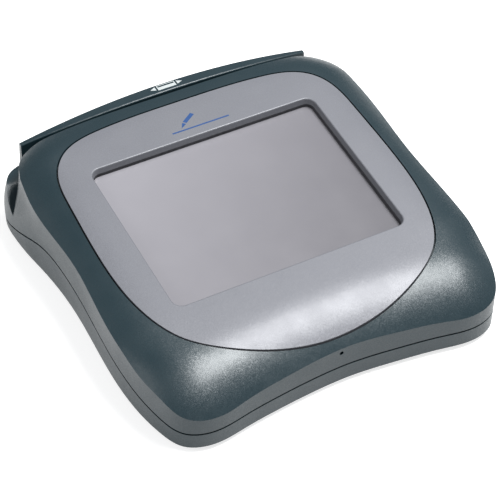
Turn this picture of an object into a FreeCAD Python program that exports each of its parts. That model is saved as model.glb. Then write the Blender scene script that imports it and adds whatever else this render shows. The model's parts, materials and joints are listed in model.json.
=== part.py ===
"""Desktop signature terminal with a card-swipe channel along its rear edge.

The origin is the centre of the footprint on the table, +Z is up, +X is to the right of a person who
stands in front of it and +Y points away from them.  Millimetres.

The shells share one crowned deck surface: a plane tilted towards the user that rolls down over the
front, the sides and the rear corners.  Their plan outlines are smooth closed curves through a few
points, mirrored about X = 0 and measured from the centre of the display window.
"""
import FreeCAD
import Part
import math
import os
import re

import Sketcher
from FreeCAD import Placement, Rotation, Vector

DIMENSIONS = {
    # display window and deck
    "window_y": 4.0,
    "window_width": 118.0,
    "window_height": 90.5,
    "window_corner": 5.0,
    "window_depth": 5.0,
    "window_taper": 1.0,
    "deck_height": 41.2,
    "tilt": 5.0,
    # shells
    "wall": 2.4,
    "floor_level": 3.0,
    "floor_thickness": 2.5,
    "parting_gap": 0.9,
    "lip_width": 1.2,
    "lip_height": 2.5,
    "lip_clearance": 0.15,
    "bezel_gap": 0.85,
    "bezel_thickness": 2.2,
    "seat_thickness": 2.4,
    "pin_radius": 1.25,
    "pin_fit": 0.2,
    # card channel and rail
    "channel_floor": 25.0,
    "channel_front": 77.0,
    "channel_width": 1.4,
    "rail_half": 77.0,
    "rail_top": 47.3,
    "rail_sag": 8.8,
    "rail_foot": 8.6,
    "rail_lean": 2.4,
    "rail_bow": 600.0,
    "rail_edge": 0.8,
    "rail_rear_edge": 0.6,
    "rail_screw_x": 48.0,
    "rail_screw_y": 3.8,
    "rail_pilot_radius": 1.0,
    "rail_hole_radius": 1.5,
    # display stack, measured down from the deck plane
    "panel_width": 127.0,
    "panel_height": 99.0,
    "touch_thickness": 1.8,
    "cell_thickness": 4.5,
    "frame_wall": 1.0,
    "frame_clearance": 0.2,
    "gasket_thickness": 1.9,
    "gasket_inset": 0.25,
    "gasket_rim": 3.25,
    "tab_x": 55.0,
    "tab_y": 57.5,
    "tab_width": 9.0,
    "display_boss_radius": 3.2,
    "display_boss_drop": 6.2,
    "display_pilot_radius": 1.0,
    # main board
    "board_width": 124.0,
    "board_depth": 130.0,
    "board_thickness": 1.6,
    "board_level": 8.5,
    "board_y": 18.0,
    "standoff_x": 56.0,
    "standoff_y": 54.0,
    "port_reach": 70.3,
    # rear panel with the socket openings
    "panel_left": -54.0,
    "panel_right": 26.0,
    "panel_top": 21.6,
    "panel_fit": 0.15,
    "panel_tab_width": 5.5,
    "panel_tab_reach": 2.0,
    # fasteners, feet and mounting pattern
    "foot_radius": 7.0,
    "foot_recess": 1.0,
    "foot_x": 63.0,
    "foot_front": -73.0,
    "foot_rear": 74.0,
    "screw_front_x": 76.0,
    "screw_front_y": -62.0,
    "screw_rear_x": 78.0,
    "screw_rear_y": 50.0,
    "boss_radius": 4.5,
    "boss_level": 11.0,
    "pilot_radius": 1.3,
    "mount_spacing": 75.0,
    "insert_radius": 3.0,
    "insert_bore": 1.65,
    "insert_length": 4.6,
    # card reader
    "head_width": 12.0,
    "head_height": 10.5,
    "head_level": 35.3,
    "head_proud": 0.9,
    "head_depth": 9.2,
    "head_clearance": 0.4,
    "post_x": 18.0,
    "post_radius": 2.5,
    "post_length": 8.0,
    "post_pilot_radius": 0.9,
    # recessed reset button
    "pinhole_radius": 1.0,
    "reset_level": 20.6,
    "front_y": -84.6,
}

# Half outlines in plan, from front centre round the right side to rear centre, measured from the
# window centre.  All are smooth closed curves once mirrored.
FOOTPRINT = [(0, -88.6), (29.9, -90.8), (50, -93.6), (67.7, -95.4), (79, -90.5), (84.1, -80.3),
             (88.1, -59.7), (88.65, -33.8), (87.0, 0.5), (88.9, 33.6), (91.3, 50), (92.2, 62),
             (91.6, 73.2), (87.2, 81.9), (78, 86.2), (60, 87.5), (30, 87.2), (0, 87)]
SHOULDER = [(0, -88.6), (29.9, -90.8), (50, -93.6), (67.7, -95.4), (79, -90.5), (84.1, -80.3),
            (88.1, -59.7), (88.65, -33.8), (87.0, 0.5), (88.8, 33.6), (88.3, 48), (86.9, 60),
            (85.2, 71), (82, 80), (74, 85), (60, 86.4), (30, 86.2), (0, 86)]
BEZEL = [(0, -84.1), (21, -82.3), (43.5, -75.5), (62.6, -62), (72.5, -41), (76.2, -8), (75.1, 31),
         (71.4, 51.8), (62, 62.2), (42, 67.6), (0, 68.9)]
# Rear corner of the main body beside the channel, from the straight channel wall forwards.
CORNER_LOW = [(66, 0), (77, -0.6), (84, -3.4), (88.8, -8.4), (91.8, -13.6), (95, -20.4), (99, -30)]
CORNER_HIGH = [(66, 0), (75.5, -0.8), (81.5, -3.8), (84.9, -10.4), (87.2, -18.4), (92, -30), (99, -43)]
# Height of the joint between the shells, and of the ledge beside the channel, against depth.  The
# ledge runs on level behind its last point.
PARTING = [(-100, 11.4), (-75, 13.4), (-50, 15.7), (-20, 17.4), (10, 18.9), (26, 19.8), (34, 19.2),
           (50, 14.4), (62, 10), (71, 7.6), (84, 6.6), (100, 6.4)]
LEDGE = [(40, 8), (52, 12.5), (62.8, 17.7), (69, 21.2), (73.5, 23.8), (78, 25)]
# Openings in the rear panel: name, width, height, centre x and lowest z.
PORT_OPENINGS = [("power", 8.4, 8.4, -44, 11.6), ("serial", 12.6, 9.6, -16, 11.2),
                 ("usb", 9.6, 8.8, 14, 11.2)]

FLARE_START = 14.0
FLARE_END = 42.0
GRID_STEP = 5.0
GRID_HALF = 100.0
TALL = 70.0
POINTS_PER_EDGE = 3

doc = FreeCAD.newDocument("signature_terminal")


# ---------------------------------------------------------------- sizes and small helpers
def fill_sheet():
    """Puts every driving dimension into the sheet under its alias."""
    sheet = doc.addObject("Spreadsheet::Sheet", "Sizes")
    for row, (alias, value) in enumerate(DIMENSIONS.items(), start=1):
        sheet.set("A%d" % row, alias)
        sheet.set("B%d" % row, str(value))
        sheet.setAlias("B%d" % row, alias)
    doc.recompute()
    return sheet


sizes = fill_sheet()


def size(alias):
    return float(getattr(sizes, alias))


def formula(text):
    """Turns the sheet's aliases in a text, such as wall * 2, into references to its cells."""
    def cell(word):
        return "Sizes." + word.group(0) if word.group(0) in DIMENSIONS else word.group(0)

    return re.sub(r"[a-z][a-z_]*", cell, str(text))


def bind(thing, **properties):
    for name, text in properties.items():
        thing.setExpression(name, formula(text))
    return thing


def put(thing, x=0, y=0, z=0):
    """Binds where an object stands."""
    for axis, text in zip("xyz", (x, y, z)):
        thing.setExpression("Placement.Base." + axis, formula(text))
    return thing


def named(thing, label):
    thing.Label = label
    return thing


# ---------------------------------------------------------------- primitives and booleans
def box(name, length, width, height, x=0, y=0, z=0):
    """A box centred on x and y that stands on z."""
    block = doc.addObject("Part::Box", name)
    bind(block, Length=length, Width=width, Height=height)
    return put(block, "%s - (%s) / 2" % (x, length), "%s - (%s) / 2" % (y, width), z)


def rod(name, radius, height, x=0, y=0, z=0, along=Vector(0, 0, 1)):
    """A cylinder that starts at x, y, z and runs along an axis."""
    cylinder = doc.addObject("Part::Cylinder", name)
    bind(cylinder, Radius=radius, Height=height)
    cylinder.Placement = Placement(Vector(), Rotation(Vector(0, 0, 1), along))
    return put(cylinder, x, y, z)


def join(name, *pieces):
    whole = doc.addObject("Part::MultiFuse", name)
    whole.Shapes = list(pieces)
    return whole


def group(name, *pieces):
    """Separate solids that share one node."""
    whole = doc.addObject("Part::Compound", name)
    whole.Links = list(pieces)
    return whole


def remove(name, base, *tools):
    result = doc.addObject("Part::Cut", name)
    result.Base = base
    result.Tool = tools[0] if len(tools) == 1 else join(name + "_tools", *tools)
    return result


def feature(name, shape):
    """A sub-shape that only Part's own functions can make."""
    thing = doc.addObject("Part::Feature", name)
    thing.Shape = shape
    return thing


# ---------------------------------------------------------------- sketched bodies
def new_body(name):
    return doc.addObject("PartDesign::Body", name)


def new_sketch(body, name, role="XY_Plane", lift=0):
    sketch = body.newObject("Sketcher::SketchObject", name)
    base = [f for f in body.Origin.OriginFeatures if f.Role == role][0]
    sketch.AttachmentSupport = (base, [""])
    sketch.MapMode = "FlatFace"
    sketch.setExpression("AttachmentOffset.Base.z", formula(lift))
    return sketch


def driven(sketch, constraint, text):
    """Adds a constraint whose value follows the sheet."""
    index = sketch.addConstraint(constraint)
    sketch.setExpression("Constraints[%d]" % index, formula(text))


def rectangle(sketch, width, depth, x=0, y=0):
    first = sketch.GeometryCount
    corners = [Vector(-5, -5, 0), Vector(5, -5, 0), Vector(5, 5, 0), Vector(-5, 5, 0)]
    for index in range(4):
        sketch.addGeometry(Part.LineSegment(corners[index], corners[(index + 1) % 4]), False)
    for index in range(4):
        sketch.addConstraint(
            Sketcher.Constraint("Coincident", first + index, 2, first + (index + 1) % 4, 1))
    for index, kind in enumerate(("Horizontal", "Vertical", "Horizontal", "Vertical")):
        sketch.addConstraint(Sketcher.Constraint(kind, first + index))
    driven(sketch, Sketcher.Constraint("DistanceX", first, 1, first, 2, 10.0), width)
    driven(sketch, Sketcher.Constraint("DistanceY", first + 1, 1, first + 1, 2, 10.0), depth)
    driven(sketch, Sketcher.Constraint("DistanceX", -1, 1, first, 1, -5.0),
           "%s - (%s) / 2" % (x, width))
    driven(sketch, Sketcher.Constraint("DistanceY", -1, 1, first, 1, -5.0),
           "%s - (%s) / 2" % (y, depth))


def circle(sketch, radius, x=0, y=0):
    index = sketch.addGeometry(Part.Circle(Vector(1, 1, 0), Vector(0, 0, 1), 1.0), False)
    driven(sketch, Sketcher.Constraint("Radius", index, 1.0), radius)
    driven(sketch, Sketcher.Constraint("DistanceX", -1, 1, index, 3, 1.0), x)
    driven(sketch, Sketcher.Constraint("DistanceY", -1, 1, index, 3, 1.0), y)


def polygon(sketch, points):
    """A closed outline whose corners are fixed by coordinates taken from the sheet."""
    first = sketch.GeometryCount
    count = len(points)
    for index in range(count):
        start = Vector(index, index * index, 0)
        end = Vector((index + 1) % count, ((index + 1) % count) ** 2, 0)
        sketch.addGeometry(Part.LineSegment(start, end), False)
    for index in range(count):
        sketch.addConstraint(
            Sketcher.Constraint("Coincident", first + index, 2, first + (index + 1) % count, 1))
    for index, (x, y) in enumerate(points):
        driven(sketch, Sketcher.Constraint("DistanceX", -1, 1, first + index, 1, 1.0), x)
        driven(sketch, Sketcher.Constraint("DistanceY", -1, 1, first + index, 1, 1.0), y)


def pad(body, sketch, length, reverse=False):
    step = body.newObject("PartDesign::Pad", sketch.Name + "_pad")
    step.Profile = sketch
    step.Reversed = reverse
    return bind(step, Length=length)


def pocket(body, sketch, length, reverse=False):
    step = body.newObject("PartDesign::Pocket", sketch.Name + "_pocket")
    step.Profile = sketch
    step.Reversed = reverse
    return bind(step, Length=length)


def revolve(body, sketch, axis="V_Axis"):
    step = body.newObject("PartDesign::Revolution", sketch.Name + "_turn")
    step.Profile = sketch
    step.ReferenceAxis = (sketch, [axis])
    step.Angle = 360
    return step


def dress(body, kind, radius, wanted):
    """Rounds or bevels the edges of the body's tip that a test picks."""
    doc.recompute()
    base = body.Tip
    edges = ["Edge%d" % (number + 1) for number, edge in enumerate(base.Shape.Edges) if wanted(edge)]
    step = body.newObject("PartDesign::" + kind, "%s_%s" % (body.Name, kind.lower()))
    step.Base = (base, edges)
    return bind(step, **{"Radius" if kind == "Fillet" else "Size": radius})


def upright(edge):
    """True for a straight edge along Z."""
    ends = [vertex.Point for vertex in edge.Vertexes]
    if len(ends) != 2:
        return False
    run = ends[1] - ends[0]
    return abs(run.z) > 0.99 * run.Length


def slab(name, width, depth, height, corner=None):
    """A plate centred on its own origin, with rounded upright corners."""
    body = new_body(name)
    sketch = new_sketch(body, name + "_outline")
    rectangle(sketch, width, depth)
    pad(body, sketch, height)
    if corner is not None:
        dress(body, "Fillet", corner, upright)
    return body


# ---------------------------------------------------------------- deck surface and outlines
def above(value, start, span):
    """How far a value is past a start, as a share of a span."""
    return max(value - start, 0.0) / span


def deck(x, y):
    """Height of the crowned deck at a point measured from the window centre."""
    x = abs(x)
    plane = size("deck_height") + math.tan(math.radians(size("tilt"))) * y
    front_reach = -y - 3.5 * (min(x, 66.0) / 60.0) ** 2
    front_roll = 10.05 * above(front_reach, 60, 28.6) ** 2.4
    side_roll = (6.3 + 0.022 * y) * above(x, 62, 26) ** 2.6
    rear_roll = 1.6 * above(y, 62, 16.5) ** 2.2
    rear_corner = 6.5 * (x / 82) ** 4 * above(y, 55, 23) ** 2.2
    share = min(above(-y, 48, 26), 1.0)
    front_corner = 3.4 * (x / 86) ** 8 * share * share * (3 - 2 * share)
    return plane - front_roll - side_roll - rear_roll - rear_corner - front_corner


def under_deck(drop):
    """The space below the deck surface, lowered by a drop."""
    count = int(2 * GRID_HALF / GRID_STEP) + 1
    ticks = [-GRID_HALF + GRID_STEP * index for index in range(count)]
    window_y = size("window_y")
    points = [[Vector(x, y + window_y, deck(x, y) - drop) for y in ticks] for x in ticks]
    surface = Part.BSplineSurface()
    surface.interpolate(points)
    return surface.toShape().extrude(Vector(0, 0, -TALL))


def closed_points(half):
    """Mirrors a half outline about X = 0 and moves it from the window centre to the frame."""
    window_y = size("window_y")
    right = [Vector(x, y + window_y, 0) for x, y in half]
    left = [Vector(-point.x, point.y, 0) for point in reversed(right[1:-1])]
    return right + left


def smooth_curve(points):
    curve = Part.BSplineCurve()
    curve.interpolate(Points=points, PeriodicFlag=True)
    return curve


def inset(points, distance):
    """Moves each point of a smooth outline square to it, inwards for a positive distance."""
    curve = smooth_curve(points)
    moved = []
    for point in points:
        tangent = curve.tangent(curve.parameter(point))[0]
        moved.append(point + Vector(-tangent.y, tangent.x, 0) * distance)
    return moved


def ring(points, level):
    """A smooth closed wire at a level, in several edges that meet without a corner."""
    curve = smooth_curve(points)
    marks = [curve.parameter(point) for point in points[::POINTS_PER_EDGE]] + [curve.LastParameter]
    wire = Part.Wire([curve.toShape(start, end) for start, end in zip(marks, marks[1:])])
    wire.translate(Vector(0, 0, level))
    return wire


def prism(points, low, high):
    return Part.Face(ring(points, low)).extrude(Vector(0, 0, high - low))


def side_wall(distance):
    """The tall form inside the side walls, which leans in above the channel's ends."""
    low = inset(closed_points(FOOTPRINT), distance)
    high = inset(closed_points(SHOULDER), distance)
    sections = []
    for level in (-2, 6, FLARE_START, 21, 28, 35, FLARE_END, 50, 58):
        share = min(above(level, FLARE_START, FLARE_END - FLARE_START), 1.0)
        share = share * share * (3 - 2 * share)
        sections.append(ring([a + (b - a) * share for a, b in zip(low, high)], level))
    return Part.makeLoft(sections, True, False)


def height_edges(points):
    """Edges through the points of a height profile, run on level to the rear of the grid."""
    curve = Part.BSplineCurve()
    rear = GRID_HALF + size("window_y")
    last = points[-1]
    if last.y >= rear:
        curve.interpolate(points)
        return [curve.toShape()], last
    end = Vector(last.x, rear, last.z)
    curve.interpolate(Points=points, InitialTangent=points[1] - points[0],
                      FinalTangent=Vector(0, 1, 0))
    return [curve.toShape(), Part.makeLine(last, end)], end


def profile_block(profile, drop, top):
    """A block under (or over) a height profile drawn against depth, as wide as the object."""
    window_y = size("window_y")
    points = [Vector(-GRID_HALF, y + window_y, z + drop) for y, z in profile]
    edges, end = height_edges(points)
    start = points[0]
    outline = edges + [Part.makeLine(end, Vector(end.x, end.y, top)),
                       Part.makeLine(Vector(end.x, end.y, top), Vector(start.x, start.y, top)),
                       Part.makeLine(Vector(start.x, start.y, top), start)]
    return Part.Face(Part.Wire(outline)).extrude(Vector(2 * GRID_HALF, 0, 0))


def corner_form(distance):
    """The main body in plan, with its rounded rear corners beside the channel."""
    window_y = size("window_y")
    rear = size("channel_front") + window_y - distance
    front = -20.0
    sections = []
    for corner, level in ((CORNER_LOW, 15.0), (CORNER_HIGH, FLARE_END)):
        right = [Vector(x - distance * x / 99.0, rear + y, level) for x, y in corner]
        left = [Vector(-point.x, point.y, level) for point in reversed(right)]
        curve = Part.BSplineCurve()
        curve.interpolate(right)
        mirror = Part.BSplineCurve()
        mirror.interpolate(left)
        nose = [Vector(right[-1].x, front, level), Vector(-right[-1].x, front, level)]
        sections.append(Part.Wire([
            Part.makeLine(left[-1], right[0]), curve.toShape(),
            Part.makeLine(right[-1], nose[0]), Part.makeLine(nose[0], nose[1]),
            Part.makeLine(nose[1], left[0]), mirror.toShape()]))
    middle = Part.makeLoft(sections, True, True)
    upper = Part.Face(sections[1]).extrude(Vector(0, 0, 30))
    lower = Part.Face(sections[0]).extrude(Vector(0, 0, -30))
    return middle.fuse([upper, lower])


def rounded_ring(width, depth, corner, level):
    """A rounded rectangle centred on the local origin, as a wire at a level."""
    plate = Part.makeBox(width, depth, 1, Vector(-width / 2, -depth / 2, level))
    upright_edges = [edge for edge in plate.Edges if upright(edge)]
    plate = plate.makeFillet(corner, upright_edges)
    face = [face for face in plate.Faces if abs(face.CenterOfMass.z - level) < 1e-6][0]
    return face.OuterWire


def on_deck(shape):
    """Moves a shape made about the deck plane's own origin to its tilted place."""
    turn = Rotation(Vector(1, 0, 0), size("tilt"))
    shape.Placement = Placement(Vector(0, size("window_y"), size("deck_height")), turn)
    return shape


def window_form():
    """The space of the display window, which narrows slightly towards the screen."""
    width, height = size("window_width"), size("window_height")
    depth, taper = size("window_depth"), size("window_taper")
    corner = size("window_corner")
    rise = 10.0
    spread = taper * rise / depth
    upper = rounded_ring(width + 2 * spread, height + 2 * spread, corner + spread, rise)
    lower = rounded_ring(width - 2 * taper, height - 2 * taper, corner - taper, -depth)
    return on_deck(Part.makeLoft([upper, lower], True, True))


def deck_slab(width, depth, corner, low, high):
    """A rounded plate given by its levels above the deck plane."""
    face = Part.Face(rounded_ring(width, depth, corner, low))
    return on_deck(face.extrude(Vector(0, 0, high - low)))


def tray_size(name):
    return size(name) + 2 * size("frame_clearance") + 2 * size("frame_wall")


# ---------------------------------------------------------------- shells
def top_shell():
    """The upper shell before its bosses and openings."""
    wall = size("wall")
    thickness = size("bezel_thickness")
    seat = thickness + size("seat_thickness")
    beside = profile_block(LEDGE, 0, 90).cut(corner_form(0))
    outer = side_wall(0).common(under_deck(0)).cut([beside, profile_block(PARTING, 0, -20)])
    inner_beside = profile_block(LEDGE, -wall, 90).cut(corner_form(wall))
    seat_block = prism(inset(closed_points(BEZEL), -3), 0, TALL).cut(under_deck(seat))
    inner = side_wall(wall).common(under_deck(wall)).cut([inner_beside, seat_block])
    recess = prism(inset(closed_points(BEZEL), -size("bezel_gap")), 0, TALL).cut(
        under_deck(thickness))
    opening = deck_slab(tray_size("panel_width") + 2, tray_size("panel_height") + 2, 4, -20, 20)
    return outer.cut([inner, recess, opening])


def bezel_shell():
    """The bezel plate with the skirt around the window."""
    thickness = size("bezel_thickness")
    skirt_wall = 1.4
    plate = prism(closed_points(BEZEL), 0, TALL).common(under_deck(0)).cut(under_deck(thickness))
    skirt = deck_slab(size("window_width") + 2 * skirt_wall, size("window_height") + 2 * skirt_wall,
                      size("window_corner") + skirt_wall,
                      size("gasket_thickness") - size("window_depth"), -thickness / 2)
    return plate.fuse(skirt).cut(window_form())


def bottom_shell():
    """The lower tray with the lip that the upper shell slides over."""
    floor = size("floor_level")
    gap = size("parting_gap")
    lip_face = size("wall") + size("lip_clearance")
    base = Part.makeBox(2 * GRID_HALF, 2 * GRID_HALF, 30, Vector(-GRID_HALF, -GRID_HALF, floor))
    room = Part.makeBox(2 * GRID_HALF, 2 * GRID_HALF, 60,
                        Vector(-GRID_HALF, -GRID_HALF, floor + size("floor_thickness")))
    outer = side_wall(0).common(base).cut(profile_block(PARTING, -gap, 90))
    lip = side_wall(lip_face).common(base).cut(profile_block(PARTING, size("lip_height"), 90))
    hollow = side_wall(lip_face + size("lip_width")).common(room)
    return outer.fuse(lip).cut(hollow)


def screw_places():
    """Where the four housing screws stand: the sign and the sheet names of each."""
    return [("%sscrew_front_x" % sign, "window_y + screw_front_y") for sign in ("", "-")] + [
        ("%sscrew_rear_x" % sign, "window_y + screw_rear_y") for sign in ("", "-")]


def rail_screw_places():
    return [(x, "window_y + channel_front + channel_width + rail_screw_y")
            for x in ("-rail_screw_x", "0", "rail_screw_x")]


def bezel_pin_places():
    return [(70.5 * side, y) for side in (-1, 1) for y in (22, -18)] + [
        (36 * side, y) for side in (-1, 1) for y in (63, -66)]


def tab_places():
    return [(side + "tab_x", end + "tab_y") for side in ("", "-") for end in ("", "-")]


def place_on_deck(thing, x=0, y=0, z=0):
    """Places a display piece from its offset along the tilted deck plane."""
    thing.Placement = Placement(Vector(), Rotation(Vector(1, 0, 0), size("tilt")))
    put(thing, x, "window_y + (%s) * cos(tilt * 1 deg) - (%s) * sin(tilt * 1 deg)" % (y, z),
        "deck_height + (%s) * sin(tilt * 1 deg) + (%s) * cos(tilt * 1 deg)" % (y, z))
    return thing


def top_housing():
    """Upper shell with screw bosses, display bosses, reader posts and its openings."""
    shell = feature("top_shell", top_shell())
    rods = [rod("top_boss%d" % number, "boss_radius", 40, x, y, "boss_level")
            for number, (x, y) in enumerate(screw_places())]
    bosses = doc.addObject("Part::Common", "top_bosses")
    bosses.Base = join("top_boss_rods", *rods)
    bosses.Tool = feature("deck_underside", under_deck(size("wall") / 2))
    seats = [place_on_deck(rod("display_boss%d" % number, "display_boss_radius", 2.6), x, y,
                           "-display_boss_drop")
             for number, (x, y) in enumerate(tab_places())]
    start = "window_y + channel_front - wall + 0.4"
    posts = [rod("reader_post%d" % number, "post_radius", "post_length", side + "post_x", start,
                 "head_level", Vector(0, -1, 0)) for number, side in enumerate(("", "-"))]
    whole = join("top_solid", shell, bosses, *(seats + posts))
    return remove("top_housing", whole, *(top_screw_holes() + top_openings()))


def top_screw_holes():
    """Pilot and clearance holes of the upper shell, and the holes for the bezel's pins."""
    holes = [rod("top_pilot%d" % number, "pilot_radius", 10, x, y, "boss_level - 1")
             for number, (x, y) in enumerate(screw_places())]
    holes += [place_on_deck(rod("display_pilot%d" % number, "display_pilot_radius", 3.4), x, y,
                            "-display_boss_drop - 0.2")
              for number, (x, y) in enumerate(tab_places())]
    holes += [rod("reader_pilot%d" % number, "post_pilot_radius", 7, side + "post_x",
                  "window_y + channel_front - 11", "head_level", Vector(0, 1, 0))
              for number, side in enumerate(("", "-"))]
    holes += [rod("rail_hole%d" % number, "rail_hole_radius", 6, x, y, "channel_floor - 4")
              for number, (x, y) in enumerate(rail_screw_places())]
    for number, (x, y) in enumerate(bezel_pin_places()):
        holes.append(rod("pin_hole%d" % number, "pin_radius + pin_fit", 12, x, "window_y + %s" % y,
                         "%s" % (deck(x, y) - 8)))
    return holes


def top_openings():
    """Openings of the upper shell for the read head, the reset pin and the rear panel."""
    head = box("head_window", "head_width + 2 * head_clearance", 8,
               "head_height + 2 * head_clearance", 0, "window_y + channel_front - 1",
               "head_level - head_height / 2 - head_clearance")
    pinhole = rod("pinhole", "pinhole_radius", 12, 0, "front_y - 6", "reset_level", Vector(0, 1, 0))
    notch = box("panel_notch", "panel_right - panel_left", 14, "panel_top",
                "(panel_left + panel_right) / 2", "window_y + 88")
    return [head, pinhole, notch]


def rear_panel():
    """Insert in the rear wall with the socket openings and a tab behind each side of its notch."""
    wall = size("wall")
    left, right = size("panel_left") + size("panel_fit"), size("panel_right") - size("panel_fit")
    room = Part.makeBox(right - left, 14, size("panel_top") - size("panel_fit"), Vector(left, 85, 0))
    strip = side_wall(0).cut(side_wall(wall)).common(room).cut(profile_block(PARTING, 0, -20))
    solids = [feature("panel_strip", strip)]
    for name, edge, sign in (("left", "panel_left", "-"), ("right", "panel_right", "")):
        middle = "%s + (%s1) * (panel_tab_reach - panel_tab_width / 2)" % (edge, sign)
        inside = "%s - (%s1) * (panel_tab_width - panel_tab_reach + panel_fit) / 2" % (edge, sign)
        solids.append(box("panel_tab_%s" % name, "panel_tab_width", 1.1, 10, middle, "window_y + 83.75",
                          10))
        solids.append(box("panel_root_%s" % name, "panel_tab_width - panel_tab_reach - panel_fit", 2.3,
                          10, inside, "window_y + 84.35", 10))
    holes = [box("port_opening_%s" % name, width, 12, height, x, "window_y + 87", z)
             for name, width, height, x, z in PORT_OPENINGS]
    return remove("rear_panel", join("panel_solid", *solids), *holes)


def front_bezel():
    """Bezel plate with its window, a softened rim and locating pins underneath."""
    shape = bezel_shell()
    slope = math.tan(math.radians(size("tilt")))
    reach_x, reach_y = size("window_width") / 2 + 1.5, size("window_height") / 2 + 1.5

    def on_rim(edge):
        for vertex in edge.Vertexes:
            local = vertex.Point - Vector(0, size("window_y"), size("deck_height"))
            if abs(local.z - slope * local.y) > 0.3 or abs(local.x) > reach_x or abs(local.y) > reach_y:
                return False
        return True

    plate = feature("bezel_plate", shape.makeFillet(0.7, [edge for edge in shape.Edges if on_rim(edge)]))
    pins = [rod("bezel_pin%d" % number, "pin_radius", 5, x, "window_y + %s" % y, "%s" % z)
            for number, (x, y, z) in enumerate(
                [(x, y, deck(x, y) - 6) for x, y in bezel_pin_places()])]
    return join("front_bezel", plate, *pins)


def bottom_housing():
    """Lower tray with bosses, board standoffs, a switch post and vents for the buzzer."""
    shell = feature("bottom_shell", bottom_shell())
    floor = "floor_level + floor_thickness - 0.5"
    solids = [rod("bottom_boss%d" % number, "boss_radius", "boss_level - (%s)" % floor, x, y, floor)
              for number, (x, y) in enumerate(screw_places())]
    solids += [rod("standoff%d" % number, 3.5, "board_level - (%s)" % floor,
                   side + "standoff_x", "board_y %s standoff_y" % end, floor)
               for number, (side, end) in enumerate((a, b) for a in ("", "-") for b in "+-")]
    solids += [rod("insert_boss%d" % number, "insert_radius + 2", "board_level - 0.4 - (%s)" % floor,
                   side + "mount_spacing / 2", end + "mount_spacing / 2", floor)
               for number, (side, end) in enumerate((a, b) for a in ("", "-") for b in ("", "-"))]
    solids.append(box("switch_post", 14, 2.4, 21, 0, "front_y + 12.8", floor))
    whole = join("bottom_solid", shell, *solids)
    holes = []
    for number, (x, y) in enumerate(screw_places()):
        holes.append(rod("screw_sink%d" % number, 3.4, 5, x, y, "floor_level - 1"))
        holes.append(rod("screw_way%d" % number, 1.8, 12, x, y, "floor_level - 0.5"))
    for number, (side, end) in enumerate((a, b) for a in ("", "-") for b in "+-"):
        holes.append(rod("standoff_pilot%d" % number, 1.2, 3.5, side + "standoff_x",
                         "board_y %s standoff_y" % end, "board_level - 3.4"))
    for number, (side, end) in enumerate((a, b) for a in ("", "-") for b in ("", "-")):
        holes.append(rod("insert_hole%d" % number, "insert_radius", "insert_length",
                         side + "mount_spacing / 2", end + "mount_spacing / 2", "floor_level"))
    for number, (x, y) in enumerate(foot_places()):
        holes.append(rod("foot_seat%d" % number, "foot_radius + 0.2", "foot_recess + 1", x, y,
                         "floor_level - 1"))
    holes.append(box("label_recess", 58, 34, 1.4, 0, 0, "floor_level - 1"))
    holes += [box("sound_slot%d" % number, 1.6, 12, 8, 40 + 3.6 * number, -22, "floor_level - 2")
              for number in range(5)]
    return remove("bottom_housing", whole, *holes)


def foot_places():
    return [(side + "foot_x", end) for side in ("", "-") for end in ("foot_front", "foot_rear")]


# ---------------------------------------------------------------- rail and small hardware
def card_rail():
    """Arched rail behind the card channel, with a bowed front face and a leaning back."""
    body = new_body("card_rail")
    outline = new_sketch(body, "rail_outline", "XZ_Plane")
    half, foot, crown = size("rail_half"), size("channel_floor"), size("rail_top")
    rise = crown - size("rail_sag")
    first = outline.addGeometry([
        Part.LineSegment(Vector(-half, rise, 0), Vector(-half, foot, 0)),
        Part.LineSegment(Vector(-half, foot, 0), Vector(half, foot, 0)),
        Part.LineSegment(Vector(half, foot, 0), Vector(half, rise, 0)),
        Part.Arc(Vector(half, rise, 0), Vector(0, crown, 0), Vector(-half, rise, 0))], False)[0]
    joints = [(first, 2, first + 1, 1), (first + 1, 2, first + 2, 1), (first + 2, 2, first + 3, 1),
              (first + 3, 2, first, 1)]
    for joint in joints:
        outline.addConstraint(Sketcher.Constraint("Coincident", *joint))
    outline.addConstraint(Sketcher.Constraint("Vertical", first))
    outline.addConstraint(Sketcher.Constraint("Horizontal", first + 1))
    outline.addConstraint(Sketcher.Constraint("Vertical", first + 2))
    driven(outline, Sketcher.Constraint("DistanceX", -1, 1, first + 1, 1, -half), "-rail_half")
    driven(outline, Sketcher.Constraint("DistanceX", -1, 1, first + 1, 2, half), "rail_half")
    driven(outline, Sketcher.Constraint("DistanceY", -1, 1, first + 1, 1, foot), "channel_floor")
    driven(outline, Sketcher.Constraint("DistanceY", -1, 1, first + 2, 2, rise), "rail_top - rail_sag")
    driven(outline, Sketcher.Constraint("DistanceY", -1, 1, first, 1, rise), "rail_top - rail_sag")
    driven(outline, Sketcher.Constraint("Radius", first + 3, 341.0),
           "(rail_half ^ 2 + rail_sag ^ 2) / (2 * rail_sag)")
    pad(body, outline, "rail_foot", reverse=True)
    lean = new_sketch(body, "rail_lean_cut", "YZ_Plane", "-rail_half - 1")
    polygon(lean, [("rail_foot", "channel_floor"), ("rail_foot + 5", "channel_floor"),
                   ("rail_foot + 5", "rail_top + 2"), ("rail_foot - rail_lean", "rail_top + 2")])
    pocket(body, lean, "2 * rail_half + 2", reverse=True)
    bow_front(body)
    dress(body, "Fillet", "rail_edge", lambda edge: is_crown(edge) and edge.BoundBox.YMin < 1)
    dress(body, "Fillet", "rail_rear_edge", lambda edge: is_crown(edge) and edge.BoundBox.YMin > 5)
    holes = new_sketch(body, "rail_screw_holes", "XY_Plane", "channel_floor")
    for x in ("-rail_screw_x", "0", "rail_screw_x"):
        circle(holes, "rail_pilot_radius", x, "rail_screw_y")
    pocket(body, holes, 8, reverse=True)
    return put(body, 0, "window_y + channel_front + channel_width", 0)


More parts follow.
